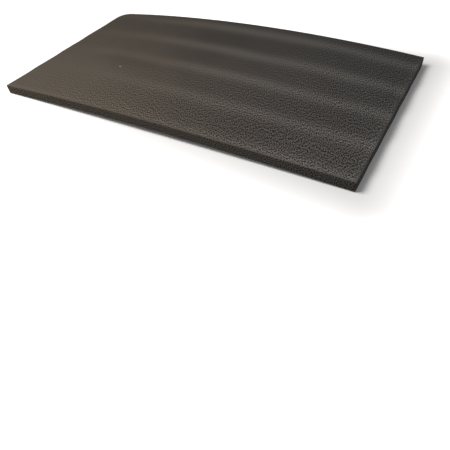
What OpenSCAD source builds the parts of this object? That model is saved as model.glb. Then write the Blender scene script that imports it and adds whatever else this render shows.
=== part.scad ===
// Foam sheet: one piece cut from a thin sheet of soft closed-cell foam.
// It keeps a slight bow along its length, deeper at the back edge than at the front,
// so it rests on its two short ends. Low ripples run along it and die down to the left.
// X runs along the length, Y across the width from the front edge to the back, and Z is up.
// The origin is the middle of the footprint, on the surface that the sheet rests on.

/* [Sheet] */
// Length of the sheet
sheet_l = 250; // [120:1:500]
// Width of the sheet
sheet_w = 130; // [70:1:300]
// Thickness of the foam
sheet_t = 6; // [3:0.5:20]
// Radius of the rounded back left corner
corner_r = 9; // [2:0.5:30]

/* [Bow] */
// Rise of the front edge at half its length
front_bow = 2.5; // [0.5:0.1:10]
// Rise of the back edge at half its length
back_bow = 6; // [0.5:0.1:15]

/* [Ripples] */
// Distance from one ripple to the next
ripple_pitch = 28.5; // [15:0.5:60]
// Height of a ripple at the right end, from its trough to its crest
ripple_h = 0.6; // [0.2:0.1:3]
// Height of a ripple at the left end
ripple_left_h = 0.2; // [0:0.1:3]
// Distance of the first crest behind the front edge, at half the length
ripple_start = 26; // [0:0.5:30]
// Slant of the ripples to the long edges, in degrees
ripple_slant = 2; // [-5:0.5:5]
// Lean of the crests towards the back, where 0 is an even wave
ripple_lean = 0.5; // [0:0.1:0.8]

/* [Hidden] */
foam_colour = [0.29, 0.27, 0.25];
// The wavy slab is this much larger than the sheet on every side, and the outline trims it
trim = 0.5;
// Smoothness: flat strips in each ripple, flat steps along the length, sides of a full circle
ripple_steps = 10;
length_steps = 18;
arc_sides = 96;
slab_l = sheet_l + 2 * trim;
slab_w = sheet_w + 2 * trim;
row_count = ceil(slab_w / ripple_pitch * ripple_steps);
step_x = slab_l / length_steps;
step_y = slab_w / row_count;
layer_size = (length_steps + 1) * (row_count + 1);

// How far a point lies along the sheet, from 0 at the left end to 1 at the right
function along(x) = x / sheet_l + 0.5;

// How far a point lies across the sheet, from 0 at the front edge to 1 at the back
function across(y) = y / sheet_w + 0.5;

// Rise of the underside by the bow, which is nothing at the short ends
function bow(x, y) =
    (front_bow + (back_bow - front_bow) * across(y)) * (1 - pow(2 * x / sheet_l, 2));

// Angle of a point within its ripple, about 0 on a crest
function ripple_angle(x, y) =
    360 * (y + sheet_w / 2 - ripple_start + x * tan(ripple_slant)) / ripple_pitch;

// Height of the ripples at a point
function ripple_size(x) = ripple_left_h + (ripple_h - ripple_left_h) * along(x);

// Rise of the underside by the ripples, 0 in a trough
function ripple(x, y) =
    let (a = ripple_angle(x, y))
    ripple_size(x) * (1 + cos(a + ripple_lean * 180 / PI * cos(a))) / 2;

function underside(x, y) = bow(x, y) + ripple(x, y);

// A point of the slab: column i, row k, and layer 0 for the underside or 1 for the top face
function slab_point(layer, i, k) =
    let (x = i * step_x - slab_l / 2, y = k * step_y - slab_w / 2)
    [x, y, underside(x, y) + layer * sheet_t];

function at(layer, i, k) = layer * layer_size + k * (length_steps + 1) + i;

// Two triangles across four corners that run clockwise as seen from outside
function quad(a, b, c, d) = [[a, b, c], [a, c, d]];

// The wavy, bowed slab of foam before its sides are cut
module slab() {
    columns = [0 : length_steps - 1];
    rows = [0 : row_count - 1];
    points = [
        for (layer = [0, 1], k = [0 : row_count], i = [0 : length_steps]) slab_point(layer, i, k)
    ];
    top_face = [
        for (k = rows, i = columns)
            each quad(at(1, i, k), at(1, i, k + 1), at(1, i + 1, k + 1), at(1, i + 1, k))
    ];
    under_face = [
        for (k = rows, i = columns)
            each quad(at(0, i, k), at(0, i + 1, k), at(0, i + 1, k + 1), at(0, i, k + 1))
    ];
    long_sides = [
        for (i = columns)
            each concat(
                quad(at(0, i, 0), at(1, i, 0), at(1, i + 1, 0), at(0, i + 1, 0)),
                quad(at(0, i + 1, row_count), at(1, i + 1, row_count),
                     at(1, i, row_count), at(0, i, row_count))
            )
    ];
    short_sides = [
        for (k = rows)
            each concat(
                quad(at(0, 0, k + 1), at(1, 0, k + 1), at(1, 0, k), at(0, 0, k)),
                quad(at(0, length_steps, k), at(1, length_steps, k),
                     at(1, length_steps, k + 1), at(0, length_steps, k + 1))
            )
    ];
    polyhedron(points, concat(top_face, under_face, long_sides, short_sides), convexity = 8);
}

// The bit of foam that is missing at the rounded corner
module corner_ear() {
    difference() {
        translate([-trim, -corner_r])
            square(corner_r + trim);
        translate([corner_r, -corner_r])
            circle(corner_r, $fn = arc_sides);
    }
}

// The sheet's outline seen from above
module outline() {
    difference() {
        square([sheet_l, sheet_w], center = true);
        translate([-sheet_l / 2, sheet_w / 2])
            corner_ear();
    }
}

// The sheet: the slab with its four sides cut square
module foam_sheet() {
    tallest = max(front_bow, back_bow) + max(ripple_h, ripple_left_h) + sheet_t;
    color(foam_colour)
        intersection() {
            slab();
            translate([0, 0, -trim])
                linear_extrude(tallest + 2 * trim)
                    outline();
        }
}

foam_sheet();
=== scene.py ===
# %% [markdown]
# # A sheet of foam
# The object is one thin sheet of soft, dark grey closed-cell foam, cut to a rectangle with a
# knife. It has no joints and no fittings, so everything that makes it look real is in its shape
# and in its skin: a slight bow, low ripples along its length, one rounded corner, a leathery
# grain on its two faces and smoother cut edges.
#
# The packed model comes first. It fixes where the sheet lies and how big it is, and nothing
# below moves or resizes it.

# %% Load the packed model
import math

import bpy
from mathutils import Matrix, Vector


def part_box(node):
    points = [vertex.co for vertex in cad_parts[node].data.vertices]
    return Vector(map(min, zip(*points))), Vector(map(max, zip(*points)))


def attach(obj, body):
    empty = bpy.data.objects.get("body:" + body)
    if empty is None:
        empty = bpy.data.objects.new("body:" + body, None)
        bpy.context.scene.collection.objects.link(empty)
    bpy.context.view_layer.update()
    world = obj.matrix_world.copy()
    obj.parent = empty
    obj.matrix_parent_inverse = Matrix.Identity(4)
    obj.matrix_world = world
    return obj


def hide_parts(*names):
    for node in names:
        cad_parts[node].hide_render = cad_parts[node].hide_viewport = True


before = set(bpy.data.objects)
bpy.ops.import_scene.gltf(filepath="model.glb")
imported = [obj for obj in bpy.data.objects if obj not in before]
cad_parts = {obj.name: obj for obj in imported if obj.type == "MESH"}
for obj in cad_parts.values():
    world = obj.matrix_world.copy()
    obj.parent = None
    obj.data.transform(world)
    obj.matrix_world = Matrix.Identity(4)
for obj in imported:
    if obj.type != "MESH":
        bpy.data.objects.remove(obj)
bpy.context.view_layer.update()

# %% [markdown]
# ## Sizes
# A maker would measure the sheet's length and width and work the rest out from the way it was
# cut. The length and width are read from the packed model here. The thickness, the bow and the
# ripples repeat the values that the solid was drawn with, so that the dressed sheet lies on the
# solid all over.

# %% Sizes of the sheet
MM = 0.001
sheet_low, sheet_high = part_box("foam_sheet")
LENGTH = sheet_high.x - sheet_low.x
WIDTH = sheet_high.y - sheet_low.y
THICKNESS = 6 * MM
CORNER_RADIUS = 9 * MM
FRONT_BOW = 2.5 * MM
BACK_BOW = 6 * MM
RIPPLE_PITCH = 28.5 * MM
RIPPLE_HEIGHT = 0.6 * MM
RIPPLE_HEIGHT_LEFT = 0.2 * MM
RIPPLE_START = 26 * MM
RIPPLE_SLOPE = math.tan(math.radians(2))
RIPPLE_LEAN = 0.5
FULL_TURN = 2 * math.pi

print(f"sheet {LENGTH / MM:.1f} x {WIDTH / MM:.1f} x {THICKNESS / MM:.1f} mm")

# %% [markdown]
# ## Sums with sockets
# Shapes and finishes are both built from node trees here, and both need a good deal of
# arithmetic. Placing Math nodes one by one hides the formula. This small class wraps a socket,
# so that a Python expression such as `1 - mask` adds the Math nodes that work it out. Any other
# node comes from its one method `node`, which sets a node's own settings first and then fills or
# links its sockets.


# %% A socket that can be used in an expression
class Wire:
    """An output socket of a node tree, or just the tree where no socket is given."""

    def __init__(self, tree, socket=None):
        self.tree = tree
        self.socket = socket

    def node(self, kind, settings=None, sockets=None, out=0):
        """Adds a node of this kind with its settings, then fills or links its sockets."""
        made = self.tree.nodes.new(kind)
        for name, value in (settings or {}).items():
            setattr(made, name, value)
        for key, value in (sockets or {}).items():
            if isinstance(value, Wire):
                self.tree.links.new(value.socket, made.inputs[key])
            else:
                made.inputs[key].default_value = value
        return Wire(self.tree, made.outputs[out] if made.outputs else None)

    def maths(self, operation, *terms):
        """Adds a Math node that does this operation on the terms."""
        return self.node("ShaderNodeMath", {"operation": operation}, dict(enumerate(terms)))

    def parts(self):
        """The three numbers of a vector."""
        made = self.node("ShaderNodeSeparateXYZ", sockets={0: self})
        return [Wire(self.tree, output) for output in made.socket.node.outputs]

    def __add__(self, other):
        return self.maths("ADD", self, other)

    def __sub__(self, other):
        return self.maths("SUBTRACT", self, other)

    def __rsub__(self, other):
        return self.maths("SUBTRACT", other, self)

    def __mul__(self, other):
        return self.maths("MULTIPLY", self, other)

    def __truediv__(self, other):
        return self.maths("DIVIDE", self, other)

    def __rtruediv__(self, other):
        return self.maths("DIVIDE", other, self)

    def __pow__(self, other):
        return self.maths("POWER", self, other)

    def __abs__(self):
        return self.maths("ABSOLUTE", self)

    def __neg__(self):
        return self * -1

    __radd__ = __add__
    __rmul__ = __mul__

    def least(self, other):
        return self.maths("MINIMUM", self, other)

    def most(self, other):
        return self.maths("MAXIMUM", self, other)

    def cosine(self):
        return self.maths("COSINE", self)


print("a wire knows:", ", ".join(name for name, member in vars(Wire).items() if callable(member)))


# %% [markdown]
# ## Random patterns
# Foam has no two spots alike, so every pattern on it starts from noise. Noise can be stored in a
# picture or worked out from the place on the sheet. Working it out needs no picture, shows no
# seam where the face meets the edge, and takes its grain size in millimetres. The fourth
# number of the noise is its fixed seed. Its middle value is a half, so taking that away leaves
# a pattern that goes up as often as down.


# %% Helpers for patterns
MIDDLE = 0.5
MIX_SHARE, MIX_FIRST, MIX_SECOND, MIX_RESULT = 0, 6, 7, 2


def noise(start, spot, size, seed, detail=2.0):
    """A soft random pattern, about 0 to 1, with lumps of the given size."""
    return start.node(
        "ShaderNodeTexNoise",
        {"noise_dimensions": "4D"},
        {"Vector": spot, "W": seed, "Scale": 1 / size, "Detail": detail},
    )


def blend(start, share, first, second, way="MIX"):
    """A colour between two others. The Mix node has its colours at these socket numbers."""
    return start.node(
        "ShaderNodeMix",
        {"data_type": "RGBA", "blend_type": way},
        {MIX_SHARE: share, MIX_FIRST: first, MIX_SECOND: second},
        out=MIX_RESULT,
    )


def times(start, colour, tone):
    """A colour multiplied by a number or by another colour."""
    return blend(start, 1.0, colour, tone, "MULTIPLY")


def fade(start, value, low, high, least=0.0):
    """The least value at low, 1 at high and smooth between them."""
    return start.node(
        "ShaderNodeMapRange",
        {"interpolation_type": "SMOOTHSTEP"},
        {"Value": value, "From Min": low, "From Max": high, "To Min": least},
    )


foam = bpy.data.materials.new("foam")
foam.use_nodes = True
foam.node_tree.nodes.clear()
skin = Wire(foam.node_tree)
spot = skin.node("ShaderNodeTexCoord", out="Object")
spot_x, spot_y, spot_z = spot.parts()
cut = skin.node("ShaderNodeAttribute", {"attribute_name": "cut"}, out="Fac")
print("material started:", foam.name)

# %% [markdown]
# ## The grain of the skin
# The two faces of the sheet carry a skin of burst and flattened cells. It reads as fine leather:
# short creases one to three millimetres apart, the larger ones at a slant to the length. Plain
# noise has patches of every size and would look like clouds from afar. Short waves of one pitch
# do not, so the sheet looks even from afar and grainy close up. Blender has a texture of such
# waves, in patches that each point a little differently. Four of them are added here: two for
# the main creases and two finer ones that cross them and break them up. They give the bump, and
# also the painted shade in the creases and the painted light on the raised parts. The grain is
# made weaker towards the back left.

# %% Grain of the skin
GRAIN_WAVES = [
    {"pitch": 3.0 * MM, "turn": 120, "order": 0.4, "strength": 0.5},
    {"pitch": 2.1 * MM, "turn": 112, "order": 0.5, "strength": 1.0},
    {"pitch": 1.2 * MM, "turn": 55, "order": 0.6, "strength": 1.3},
    {"pitch": 1.2 * MM, "turn": 165, "order": 0.6, "strength": 1.3},
]
WAVES_A_PATCH = 1.5
FLAT_ORIENTATION = 4
BOLD_SLANT = 0.75
BOLD_SPAN = (-75 * MM, 90 * MM)
BOLD_LEAST = 0.05


def waves(start, place, pitch, turn, order):
    """Patches of short waves, about 0 to 1: order 1 points them all to the turn, in degrees."""
    # Two of the node's sockets are called Orientation, so the flat one is named by its number.
    return start.node(
        "ShaderNodeTexGabor",
        {"gabor_type": "2D"},
        {
            "Vector": place,
            "Scale": 1 / (pitch * WAVES_A_PATCH),
            "Frequency": WAVES_A_PATCH,
            "Anisotropy": order,
            FLAT_ORIENTATION: math.radians(turn),
        },
    )


grain = MIDDLE
for wave in GRAIN_WAVES:
    creases = waves(skin, spot, wave["pitch"], wave["turn"], wave["order"])
    grain = grain + (creases - MIDDLE) * wave["strength"]
boldness = fade(skin, spot_x * BOLD_SLANT - spot_y, *BOLD_SPAN, BOLD_LEAST)
print("grain waves, mm:", [round(wave["pitch"] / MM, 1) for wave in GRAIN_WAVES])

# %% [markdown]
# ## Painted light along the ripples
# Low ripples run along the sheet. They are too low for the lamp alone to show them well, so the
# light that their back slopes would catch is painted onto the skin as narrow pale bands. These
# painted highlights wander, and they fade out towards the front and the left. A cosine with the
# pitch of the ripples gives their place, and a power makes them narrow.

# %% Painted light bands
BAND_PLACE = 7 * MM
BAND_WANDER = 10 * MM
WANDER_SIZE = 70 * MM
WANDER_SEED = 13
BAND_SHARPNESS = 2.6
BAND_MEAN = 0.33
PAINTED_BAND_STRENGTH = 0.5
BAND_FRONT_SLANT = 0.5
BAND_FRONT_SPAN = (-90 * MM, 20 * MM)
BAND_LEFT_SPAN = (-130 * MM, 20 * MM)
BAND_LEAST = 0.2
wander = (noise(skin, spot, WANDER_SIZE, WANDER_SEED, detail=1.0) - MIDDLE) * BAND_WANDER
behind = spot_y + WIDTH / 2 - RIPPLE_START + spot_x * RIPPLE_SLOPE
band_turn = (behind + wander - BAND_PLACE) * (FULL_TURN / RIPPLE_PITCH)
# Painted light: the pale bands stand in for the light caught by the back slope of each ripple.
painted_light_bands = ((band_turn.cosine() + 1) / 2) ** BAND_SHARPNESS
off_front = fade(skin, spot_x * BAND_FRONT_SLANT + spot_y, *BAND_FRONT_SPAN, BAND_LEAST)
off_left = fade(skin, spot_x, *BAND_LEFT_SPAN, BAND_LEAST)
# The painted ripple light, as a share of the skin's colour.
painted_band_light = (painted_light_bands - BAND_MEAN) * PAINTED_BAND_STRENGTH * off_front * off_left
print(f"bands: {RIPPLE_PITCH / MM:.1f} mm apart")

# %% [markdown]
# ## Clouds and a painted edge highlight
# Handling leaves its marks on soft foam: the faces are faintly cloudy. A pale strip along the
# front and right edges is a painted highlight, the light that the rounded top edge catches, and
# along a thin rim the grain's painted shade is mostly taken out so that the highlight reads as a
# clean line. Marks like these could be painted by hand. A fade over the distance from the edge
# keeps its width whatever the size of the sheet.

# %% Clouds and a painted edge highlight
CLOUD_SIZE = 30 * MM
CLOUD_SEED = 5
CLOUD_STRENGTH = 0.2
EDGE_HIGHLIGHT_SPAN = (1 * MM, 6 * MM)
EDGE_HIGHLIGHT_STRENGTH = 0.16
RIM_SPAN = (0.6 * MM, 2.0 * MM)
clouds = noise(skin, spot, CLOUD_SIZE, CLOUD_SEED, detail=3.0)
from_edge = (spot_y + WIDTH / 2).least(LENGTH / 2 - spot_x)
# Painted highlight: the front and right edges are made paler where the rounded edge catches
# light.
painted_edge_highlight = 1 - fade(skin, from_edge, *EDGE_HIGHLIGHT_SPAN)
# The thin rim under the highlight, where the grain's painted shade is evened out.
rim = 1 - fade(skin, from_edge, *RIM_SPAN)
tone = 1 + painted_band_light + (clouds - MIDDLE) * CLOUD_STRENGTH + painted_edge_highlight * EDGE_HIGHLIGHT_STRENGTH
print(f"painted_highlights up to {EDGE_HIGHLIGHT_SPAN[1] / MM:.0f} mm from the front and right edges")

# %% [markdown]
# ## Broad tones
# The sheet's broad light and dark come mostly from the lamp. What the lamp leaves out is added
# to the skin as weak, wide fades: darker at the back, at the left behind the front edge and from
# the middle to the right, and paler at the near right corner.

# %% Broad tones
BACK_SHADE = 0.2
BACK_SHADE_FROM = -20 * MM
LEFT_SHADE = 0.12
LEFT_SHADE_BACK = (-45 * MM, 5 * MM)
LEFT_SHADE_END = (-20 * MM, 50 * MM)
MIDDLE_SHADE = 0.08
MIDDLE_SHADE_SPAN = (-60 * MM, 20 * MM)
NEAR_LIFT = 0.15
NEAR_LIFT_SPAN = (100 * MM, 180 * MM)
back_shade = fade(skin, spot_y, BACK_SHADE_FROM, WIDTH / 2)
left_shade = fade(skin, spot_y, *LEFT_SHADE_BACK) * (1 - fade(skin, spot_x, *LEFT_SHADE_END))
middle_shade = fade(skin, spot_x, *MIDDLE_SHADE_SPAN)
near_lift = fade(skin, spot_x - spot_y, *NEAR_LIFT_SPAN)
tone = tone - back_shade * BACK_SHADE - left_shade * LEFT_SHADE
tone = tone - middle_shade * MIDDLE_SHADE + near_lift * NEAR_LIFT
print(f"broad tones: {BACK_SHADE:.0%} darker at the back, {NEAR_LIFT:.0%} paler near")

# %% [markdown]
# ## A nick and a smudge
# A small nick in the top face shows the pale inside of the foam, and a faint dark smudge lies
# around it. Both are ellipses: the place is counted in half lengths and half widths from the
# middle, and the mark ends where that distance is 1. Only the top face has them, so the height
# above the bowed underside is asked for too.

# %% Nick and smudge
NICK = (-57.8 * MM, -18 * MM)
NICK_TURN = math.radians(-18)
NICK_LENGTH = 1.6 * MM
NICK_WIDTH = 0.55 * MM
NICK_CORE = 0.5
SMUDGE = (-53 * MM, -9 * MM)
SMUDGE_LENGTH = 45 * MM
SMUDGE_WIDTH = 14 * MM
SMUDGE_STRENGTH = 0.14
bow_here = FRONT_BOW + (spot_y / WIDTH + 0.5) * (BACK_BOW - FRONT_BOW)
underside = bow_here * (1 - (spot_x * 2 / LENGTH) ** 2)
top_side = fade(skin, spot_z - underside, 0, THICKNESS)
nick_x = (spot_x - NICK[0]) * math.cos(NICK_TURN) + (spot_y - NICK[1]) * math.sin(NICK_TURN)
nick_y = (spot_y - NICK[1]) * math.cos(NICK_TURN) - (spot_x - NICK[0]) * math.sin(NICK_TURN)
nick_reach = ((nick_x / NICK_LENGTH) ** 2 + (nick_y / NICK_WIDTH) ** 2) ** 0.5
nick = (1 - fade(skin, nick_reach, NICK_CORE, 1)) * top_side
smudge_x = (spot_x - SMUDGE[0]) / SMUDGE_LENGTH
smudge_y = (spot_y - SMUDGE[1]) / SMUDGE_WIDTH
smudge_reach = (smudge_x ** 2 + smudge_y ** 2) ** 0.5
smudge = (1 - fade(skin, smudge_reach, 0, 1)) * top_side
tone = tone - smudge * SMUDGE_STRENGTH
print("nick at", [round(value / MM) for value in NICK], "mm")

# %% [markdown]
# ## Colour of the faces
# The foam is a charcoal grey. On the faces the raised part of the grain is painted paler and the
# creases darker, as painted light and shade of the relief, and all the marks above make the skin
# paler or darker by a share, some of them painted light and shade. Along the thin rim by the edge
# highlight the grain is mostly gone. One colour that is mixed from two by the grain, and then
# multiplied by the marks, is easier to adjust than many painted ones.

# %% Colour of the faces
# Painted shade in the creases and painted light on the raised grain, mixed by the grain.
SKIN_CREASE_SHADE = (0.010, 0.0095, 0.009, 1)
SKIN_RIDGE_LIGHT = (0.160, 0.150, 0.140, 1)
GRAIN_GAIN = 1.55
RIM_EVENNESS = 0.7
grain_gain = boldness * (1 - rim * RIM_EVENNESS) * GRAIN_GAIN
skin_share = (grain - MIDDLE) * grain_gain + MIDDLE
# The skin's colour carries the grain's painted light and shade and the painted marks.
toned_skin = times(skin, blend(skin, skin_share, SKIN_CREASE_SHADE, SKIN_RIDGE_LIGHT), tone)
print("faces from", SKIN_CREASE_SHADE[:3], "to", SKIN_RIDGE_LIGHT[:3])

# %% [markdown]
# ## Colour of the cut edges
# On the cut edges the knife has opened the cells, so there the colour is speckled by small
# pores, painted dark as the shade that falls into them. They are waves that point every way,
# laid out along the edge and up it.
# The mesh carries a number called cut, which is 1 on a cut edge and 0 on a face, and the two
# colours and the two reliefs are mixed by it. At the end comes a tint, browner and warmer at the
# left end of the sheet, partly the foam's own brown and partly painted warm light, and the pale
# nick.

# %% Colour of the cut edges, tint and relief
# Painted shade inside the open pores, and the lit walls between them.
CUT_PORE_SHADE = (0.007, 0.0065, 0.006, 1)
CUT_LIT_WALLS = (0.095, 0.088, 0.081, 1)
PORE_SIZE = 1.25 * MM
PORE_SPAN = (0.36, 0.64)
PORE_RELIEF = 0.5
# Painted light: the cut edges are made paler towards the left end, where more light falls.
CUT_PAINTED_LIGHT = 0.15
CUT_PAINTED_LIGHT_FROM = 60 * MM
# Partly the foam's own browner tone and partly painted warm light, strongest at the left end.
LEFT_BROWN_AND_WARM_LIGHT = (1.0, 0.895, 0.776, 1)
RIGHT_TINT = (0.96, 0.965, 0.985, 1)
TINT_SLANT = 0.6
TINT_SPAN = (-80 * MM, 130 * MM)
NICK_COLOUR = (0.21, 0.21, 0.225, 1)
cut_place = skin.node("ShaderNodeCombineXYZ", sockets={0: spot_x + spot_y, 1: spot_z})
pores = waves(skin, cut_place, PORE_SIZE, turn=0, order=0.0)
open_cells = fade(skin, pores, *PORE_SPAN)
# Painted light on the cut edges, growing towards the left end.
cut_tone = fade(skin, -spot_x, CUT_PAINTED_LIGHT_FROM, LENGTH / 2) * CUT_PAINTED_LIGHT + 1
# The cut edges' colour with the pores' painted shade.
toned_cut = times(skin, blend(skin, open_cells, CUT_PORE_SHADE, CUT_LIT_WALLS), cut_tone)
bare_colour = blend(skin, cut, toned_skin, toned_cut)
# The share of the brown tone and painted warm light, from the left end to the right.
brown_and_warm_light_share = fade(skin, spot_x + spot_y * TINT_SLANT, *TINT_SPAN)
tinted_colour = times(skin, bare_colour, blend(skin, brown_and_warm_light_share, LEFT_BROWN_AND_WARM_LIGHT, RIGHT_TINT))
foam_colour = blend(skin, nick, tinted_colour, NICK_COLOUR)
relief = grain * boldness * (1 - cut) + open_cells * PORE_RELIEF * cut
print("cut edges from", CUT_PORE_SHADE[:3], "to", CUT_LIT_WALLS[:3])

# %% [markdown]
# ## The foam's shader
# Foam is matte, but not dead: the skin throws a wide, faint shine back at a low angle. One
# Principled shader does that with a high roughness. A Bump node turns the relief into small
# slopes, with the relief's real height in metres.

# %% Shader of the foam
GRAIN_RELIEF = 0.3 * MM
ROUGHNESS = 0.95
ROUGHNESS_DROP = 0.08
SHINE = 0.08
bump = skin.node(
    "ShaderNodeBump", sockets={"Strength": 1.0, "Distance": GRAIN_RELIEF, "Height": relief}
)
surface = skin.node(
    "ShaderNodeBsdfPrincipled",
    sockets={
        "Base Color": foam_colour,
        "Roughness": ROUGHNESS - grain * ROUGHNESS_DROP,
        "Specular IOR Level": SHINE,
        "Normal": bump,
    },
)
skin.node("ShaderNodeOutputMaterial", sockets={"Surface": surface})
print("foam material:", len(foam.node_tree.nodes), "nodes")

# %% [markdown]
# ## The sheet
# The sheet follows a rule: a thin box whose edges are softened, whose back left corner is
# rounded, and which is then lifted by the bow and the ripples. A Geometry Nodes tree states that
# rule once. It starts from a box with a fine grid on all six sides, so the mesh is closed from
# the start, and works out where each point goes in one formula. The foam's coarser unevenness
# is pressed into the mesh too, always inwards, so that the sheet never grows past its solid.

# %% Inputs of the tree
sheet_inputs = {
    "Length": ("NodeSocketFloat", LENGTH),
    "Width": ("NodeSocketFloat", WIDTH),
    "Thickness": ("NodeSocketFloat", THICKNESS),
    "Corner Radius": ("NodeSocketFloat", CORNER_RADIUS),
    "Edge Softness": ("NodeSocketFloat", 0.3 * MM),
    "Edge Row": ("NodeSocketFloat", 0.2 * MM),
    "Front Bow": ("NodeSocketFloat", FRONT_BOW),
    "Back Bow": ("NodeSocketFloat", BACK_BOW),
    "Ripple Pitch": ("NodeSocketFloat", RIPPLE_PITCH),
    "Ripple Height": ("NodeSocketFloat", RIPPLE_HEIGHT),
    "Ripple Height Left": ("NodeSocketFloat", RIPPLE_HEIGHT_LEFT),
    "Ripple Start": ("NodeSocketFloat", RIPPLE_START),
    "Ripple Slope": ("NodeSocketFloat", RIPPLE_SLOPE),
    "Ripple Lean": ("NodeSocketFloat", RIPPLE_LEAN),
    "Grain Size": ("NodeSocketFloat", 1.6 * MM),
    "Grain Depth": ("NodeSocketFloat", 0.12 * MM),
    "Cut Wander": ("NodeSocketFloat", 0.15 * MM),
    "Columns": ("NodeSocketInt", 290),
    "Rows": ("NodeSocketInt", 151),
    "Layers": ("NodeSocketInt", 10),
    "Seed": ("NodeSocketFloat", 7.0),
    "Foam": ("NodeSocketMaterial", foam),
}
tree = bpy.data.node_groups.new("foam_sheet_rule", "GeometryNodeTree")
for name, (kind, value) in sheet_inputs.items():
    tree.interface.new_socket(name, in_out="INPUT", socket_type=kind)
tree.interface.new_socket("Geometry", in_out="OUTPUT", socket_type="NodeSocketGeometry")
rule = Wire(tree)
given = {s.name: Wire(tree, s) for s in rule.node("NodeGroupInput").socket.node.outputs}
print("tree inputs:", ", ".join(sheet_inputs))

# %% The box with a fine grid
box_size = rule.node(
    "ShaderNodeCombineXYZ",
    sockets={0: given["Length"], 1: given["Width"], 2: given["Thickness"]},
)
box = rule.node(
    "GeometryNodeMeshCube",
    sockets={
        "Size": box_size,
        "Vertices X": given["Columns"],
        "Vertices Y": given["Rows"],
        "Vertices Z": given["Layers"],
    },
)
place = rule.node("GeometryNodeInputPosition")
place_x, place_y, place_z = place.parts()
print("box grid:", [sheet_inputs[key][1] for key in ("Columns", "Rows", "Layers")])


# %% [markdown]
# ### Soft edges
# A knife leaves a crisp edge on foam, but never a perfectly sharp one. A Bevel modifier could
# round it. Here the formula does: each point is pulled back to the nearest place of a slightly
# smaller box, and then pushed out from there by the edge's radius. The direction of that push
# also tells a face from a cut edge.


# %% Soft edges
ROWS_BESIDE_EDGE = 1.5


def crowded(coordinate, size, count):
    """Moves the grid line next to each edge close to it, where the softened edge needs it."""
    inset = size / 2 - abs(coordinate)
    gap = size / (count - 1)
    beside = inset.maths("LESS_THAN", inset, gap * ROWS_BESIDE_EDGE)
    moved = inset * (1 + beside * (given["Edge Row"] / gap - 1))
    return coordinate.maths("SIGN", coordinate) * (size / 2 - moved)


def pulled_back(coordinate, size):
    """The nearest place inside the box that the softened edge is rolled around."""
    room = size / 2 - given["Edge Softness"]
    return coordinate.least(room).most(-room)


sides = [
    (place_x, given["Length"], given["Columns"]),
    (place_y, given["Width"], given["Rows"]),
    (place_z, given["Thickness"], given["Layers"]),
]
grid = [crowded(*side) for side in sides]
core = [pulled_back(point, side[1]) for point, side in zip(grid, sides)]
push = [point - inner for point, inner in zip(grid, core)]
push_length = (push[0] ** 2 + push[1] ** 2 + push[2] ** 2) ** 0.5
outward = [part / push_length for part in push]
face_share = outward[2] ** 2
edge_share = 1 - face_share
print("edges softened by", sheet_inputs["Edge Softness"][1] / MM, "mm")

# %% [markdown]
# ### Unevenness
# The faces are dented a tenth of a millimetre or so by the cells under the skin, and the cut
# edges wander where the knife did. Both are taken off the push, so they only ever go inwards.

# %% Unevenness of the foam
DENT_TIMES = 4
KNIFE_TIMES = 7
lumps = noise(rule, place, given["Grain Size"], given["Seed"], detail=1)
dents = noise(rule, place, given["Grain Size"] * DENT_TIMES, given["Seed"] + 1, detail=1)
knife = noise(rule, place, given["Grain Size"] * KNIFE_TIMES, given["Seed"] + 2)
pressed = given["Grain Depth"] * (lumps + dents) * face_share
sunk = pressed + given["Cut Wander"] * knife * edge_share
soft = [inner + part * (given["Edge Softness"] - sunk) for inner, part in zip(core, outward)]
print("dents up to", 2 * sheet_inputs["Grain Depth"][1] / MM, "mm")

# %% [markdown]
# ### Corner, bow and ripples
# The rounded corner maps the last square of the sheet to a quarter of a disc. The bow is a
# parabola along the length, higher at the back than at the front. The ripples are a cosine
# across the width whose crests lean a little, and they grow from the left end to the right.

# %% Rounded corner, bow and ripples
radius = given["Corner Radius"]
into_x = ((radius - given["Length"] / 2 - soft[0]) / radius).most(0)
into_y = ((soft[1] + radius - given["Width"] / 2) / radius).most(0)
round_x = soft[0] + radius * into_x * (1 - (1 - into_y ** 2 / 2) ** 0.5)
round_y = soft[1] - radius * into_y * (1 - (1 - into_x ** 2 / 2) ** 0.5)

along = round_x / given["Length"] + 0.5
across = round_y / given["Width"] + 0.5
end_fall = 1 - (round_x * 2 / given["Length"]) ** 2
bow = (given["Front Bow"] + (given["Back Bow"] - given["Front Bow"]) * across) * end_fall

past_start = round_y + given["Width"] / 2 - given["Ripple Start"]
angle = (past_start + round_x * given["Ripple Slope"]) * FULL_TURN / given["Ripple Pitch"]
swing = angle + given["Ripple Lean"] * angle.cosine()
growth = given["Ripple Height"] - given["Ripple Height Left"]
ripple = (given["Ripple Height Left"] + along * growth) * (swing.cosine() + 1) / 2
lifted = soft[2] + given["Thickness"] / 2 + bow + ripple
print("bow:", FRONT_BOW / MM, "to", BACK_BOW / MM, "mm")

# %% Finish the tree
marked = rule.node(
    "GeometryNodeStoreNamedAttribute",
    {"data_type": "FLOAT", "domain": "POINT"},
    {"Geometry": box, "Name": "cut", "Value": edge_share},
)
new_place = rule.node("ShaderNodeCombineXYZ", sockets={0: round_x, 1: round_y, 2: lifted})
shaped = rule.node("GeometryNodeSetPosition", sockets={"Geometry": marked, "Position": new_place})
smooth = rule.node("GeometryNodeSetShadeSmooth", sockets={"Geometry": shaped})
whole = rule.node("GeometryNodeRealizeInstances", sockets={"Geometry": smooth})
dressed = rule.node(
    "GeometryNodeSetMaterial", sockets={"Geometry": whole, "Material": given["Foam"]}
)
rule.node("NodeGroupOutput", sockets={"Geometry": dressed})
print("tree nodes:", len(tree.nodes))

# %% [markdown]
# ### From rule to mesh
# The tree is run once and its result is kept as a plain mesh, so that it needs no modifier.
# The piece then takes the place of the plain solid and moves with the only body.

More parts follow.
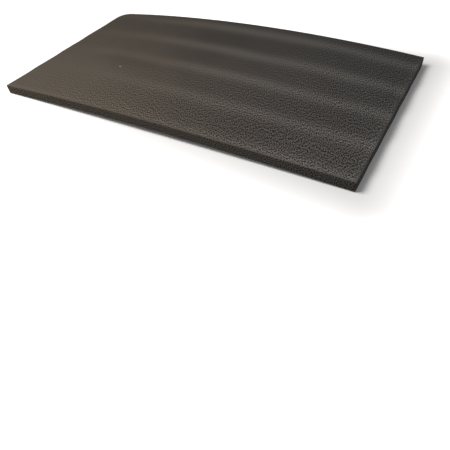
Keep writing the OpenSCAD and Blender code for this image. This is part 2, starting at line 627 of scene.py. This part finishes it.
# %% The sheet as a plain mesh
sheet = bpy.data.objects.new("sheet_of_foam", bpy.data.meshes.new("sheet_of_foam"))
bpy.context.scene.collection.objects.link(sheet)
modifier = sheet.modifiers.new("foam_sheet_rule", "NODES")
modifier.node_group = tree
for socket in tree.interface.items_tree:
    if socket.in_out == "INPUT":
        modifier[socket.identifier] = sheet_inputs[socket.name][1]
graph = bpy.context.evaluated_depsgraph_get()
mesh = bpy.data.meshes.new_from_object(sheet.evaluated_get(graph), depsgraph=graph)
sheet.modifiers.remove(modifier)
sheet.data = mesh
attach(sheet, "root")
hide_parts("foam_sheet")
print("sheet mesh:", len(mesh.vertices), "points,", len(mesh.polygons), "faces")

# %% [markdown]
# ## Floor
# A dark matte sheet shows best on plain white paper. Lit paper is never quite white in a render,
# and more light would bleach the foam. So the paper glows a little, but only for rays that come
# from the eye or from a reflection. The glow is weak next to the sheet, where its shadow lies,
# and full further out.

# %% Floor
FLOOR_SIZE = 8
SHADE_REACH = 50 * MM
GLOW_NEAR = (0.05, 0.05, 0.05, 1)
GLOW_FAR = (1, 1, 1, 1)
PAPER_LIGHTING = (0.8, 0.8, 0.8, 1)
PAPER_SEEN = (0.95, 0.95, 0.95, 1)
bpy.ops.mesh.primitive_plane_add(size=FLOOR_SIZE)
floor = bpy.context.object
floor.name = "floor"
paper = bpy.data.materials.new("paper")
paper.use_nodes = True
paper.node_tree.nodes.clear()
ground = Wire(paper.node_tree)


def looked_at(start):
    """1 for a ray from the eye, from a reflection or through glass, 0 for one that lights."""
    rays = start.node("ShaderNodeLightPath")
    ray_kinds = rays.socket.node.outputs
    kinds = [
        Wire(start.tree, ray_kinds[kind])
        for kind in ("Is Camera Ray", "Is Glossy Ray", "Is Transmission Ray")
    ]
    return kinds[0].most(kinds[1]).most(kinds[2])


floor_x, floor_y = ground.node("ShaderNodeTexCoord", out="Object").parts()[:2]
past_x = (abs(floor_x) - LENGTH / 2).most(0)
past_y = (abs(floor_y) - WIDTH / 2).most(0)
from_sheet = (past_x ** 2 + past_y ** 2) ** 0.5
glow_colour = blend(ground, fade(ground, from_sheet, 0, SHADE_REACH), GLOW_NEAR, GLOW_FAR)
plain = ground.node("ShaderNodeBsdfDiffuse", sockets={"Color": PAPER_LIGHTING})
bright = ground.node("ShaderNodeBsdfDiffuse", sockets={"Color": PAPER_SEEN})
glow = ground.node("ShaderNodeEmission", sockets={"Color": glow_colour})
glowing = ground.node("ShaderNodeAddShader", sockets={0: bright, 1: glow})
paper_look = ground.node(
    "ShaderNodeMixShader", sockets={0: looked_at(ground), 1: plain, 2: glowing}
)
ground.node("ShaderNodeOutputMaterial", sockets={"Surface": paper_look})
floor.data.materials.append(paper)
print("floor:", FLOOR_SIZE, "m across")

# %% [markdown]
# ## Room light
# The rest of the room is an even grey for lighting, so that no side of the sheet goes black, and
# white where it is looked at.

# %% Room light
ROOM_LIGHT = 0.2
ROOM_COLOUR = (1, 1, 1, 1)
world = bpy.data.worlds.new("studio")
bpy.context.scene.world = world
world.use_nodes = True
world.node_tree.nodes.clear()
room = Wire(world.node_tree)
room_strength = looked_at(room) * (1 - ROOM_LIGHT) + ROOM_LIGHT
room_light = room.node(
    "ShaderNodeBackground", sockets={"Color": ROOM_COLOUR, "Strength": room_strength}
)
room.node("ShaderNodeOutputWorld", sockets={"Surface": room_light})
print("room light:", ROOM_LIGHT)

# %% [markdown]
# ## Lamp
# One soft, nearly white lamp hangs above the front left corner. It is close, so its light falls
# off towards the back right, and it is high, so the cut edges stay in shade. An area lamp gives
# the soft edge of the shadow that a window or a studio lamp would.

# %% Lamp
LAMP_TURN = math.radians(135)
LAMP_HEIGHT = math.radians(60)
LAMP_DISTANCE = 0.45
LAMP_SIZE = 0.25
LAMP_POWER = 1.9
LAMP_COLOUR = (1.0, 0.98, 0.955)
level = LAMP_DISTANCE * math.cos(LAMP_HEIGHT)
lamp_place = Vector(
    (
        -level * math.sin(LAMP_TURN),
        level * math.cos(LAMP_TURN),
        LAMP_DISTANCE * math.sin(LAMP_HEIGHT),
    )
)
lamp = bpy.data.lights.new("key", "AREA")
lamp.shape = "SQUARE"
lamp.size = LAMP_SIZE
lamp.energy = LAMP_POWER
lamp.color = LAMP_COLOUR
lamp_object = bpy.data.objects.new("key", lamp)
lamp_object.location = lamp_place
lamp_object.visible_camera = False
lamp_object.rotation_mode = "QUATERNION"
lamp_object.rotation_quaternion = (-lamp_place).to_track_quat("-Z", "Y")
bpy.context.scene.collection.objects.link(lamp_object)
print("lamp at", tuple(round(value, 2) for value in lamp_place), "m")

# %% [markdown]
# ## Camera
# The camera looks down on the sheet from the front right, close to it, with a short lens, so
# the right end is much nearer than the left. Its place and roll were found by matching the
# sheet's edges in the photograph.

# %% Camera
CAMERA_PLACE = Vector((156.23, -214.14, 139.99)) * MM
CAMERA_AIM = Vector((79.36, -109.25, 0)) * MM
CAMERA_ROLL = math.radians(-8.042)
SENSOR_WIDTH_MM = 36
LENS_MM = 33.348
NEAREST_SEEN = 10 * MM
eye = bpy.data.cameras.new("camera")
eye.sensor_width = SENSOR_WIDTH_MM
eye.lens = LENS_MM
eye.clip_start = NEAREST_SEEN
camera = bpy.data.objects.new("camera", eye)
sight = CAMERA_AIM - CAMERA_PLACE
look = sight.to_track_quat("-Z", "Y").to_matrix().to_4x4()
camera.matrix_world = (
    Matrix.Translation(CAMERA_PLACE) @ look @ Matrix.Rotation(CAMERA_ROLL, 4, "Z")
)
bpy.context.scene.collection.objects.link(camera)
bpy.context.scene.camera = camera
bpy.context.scene.view_settings.view_transform = "Standard"
print(f"camera {sight.length / MM:.0f} mm from its aim")

# %% [markdown]
# ## End
# The dressed sheet is meant to stay inside the box of the packed model.
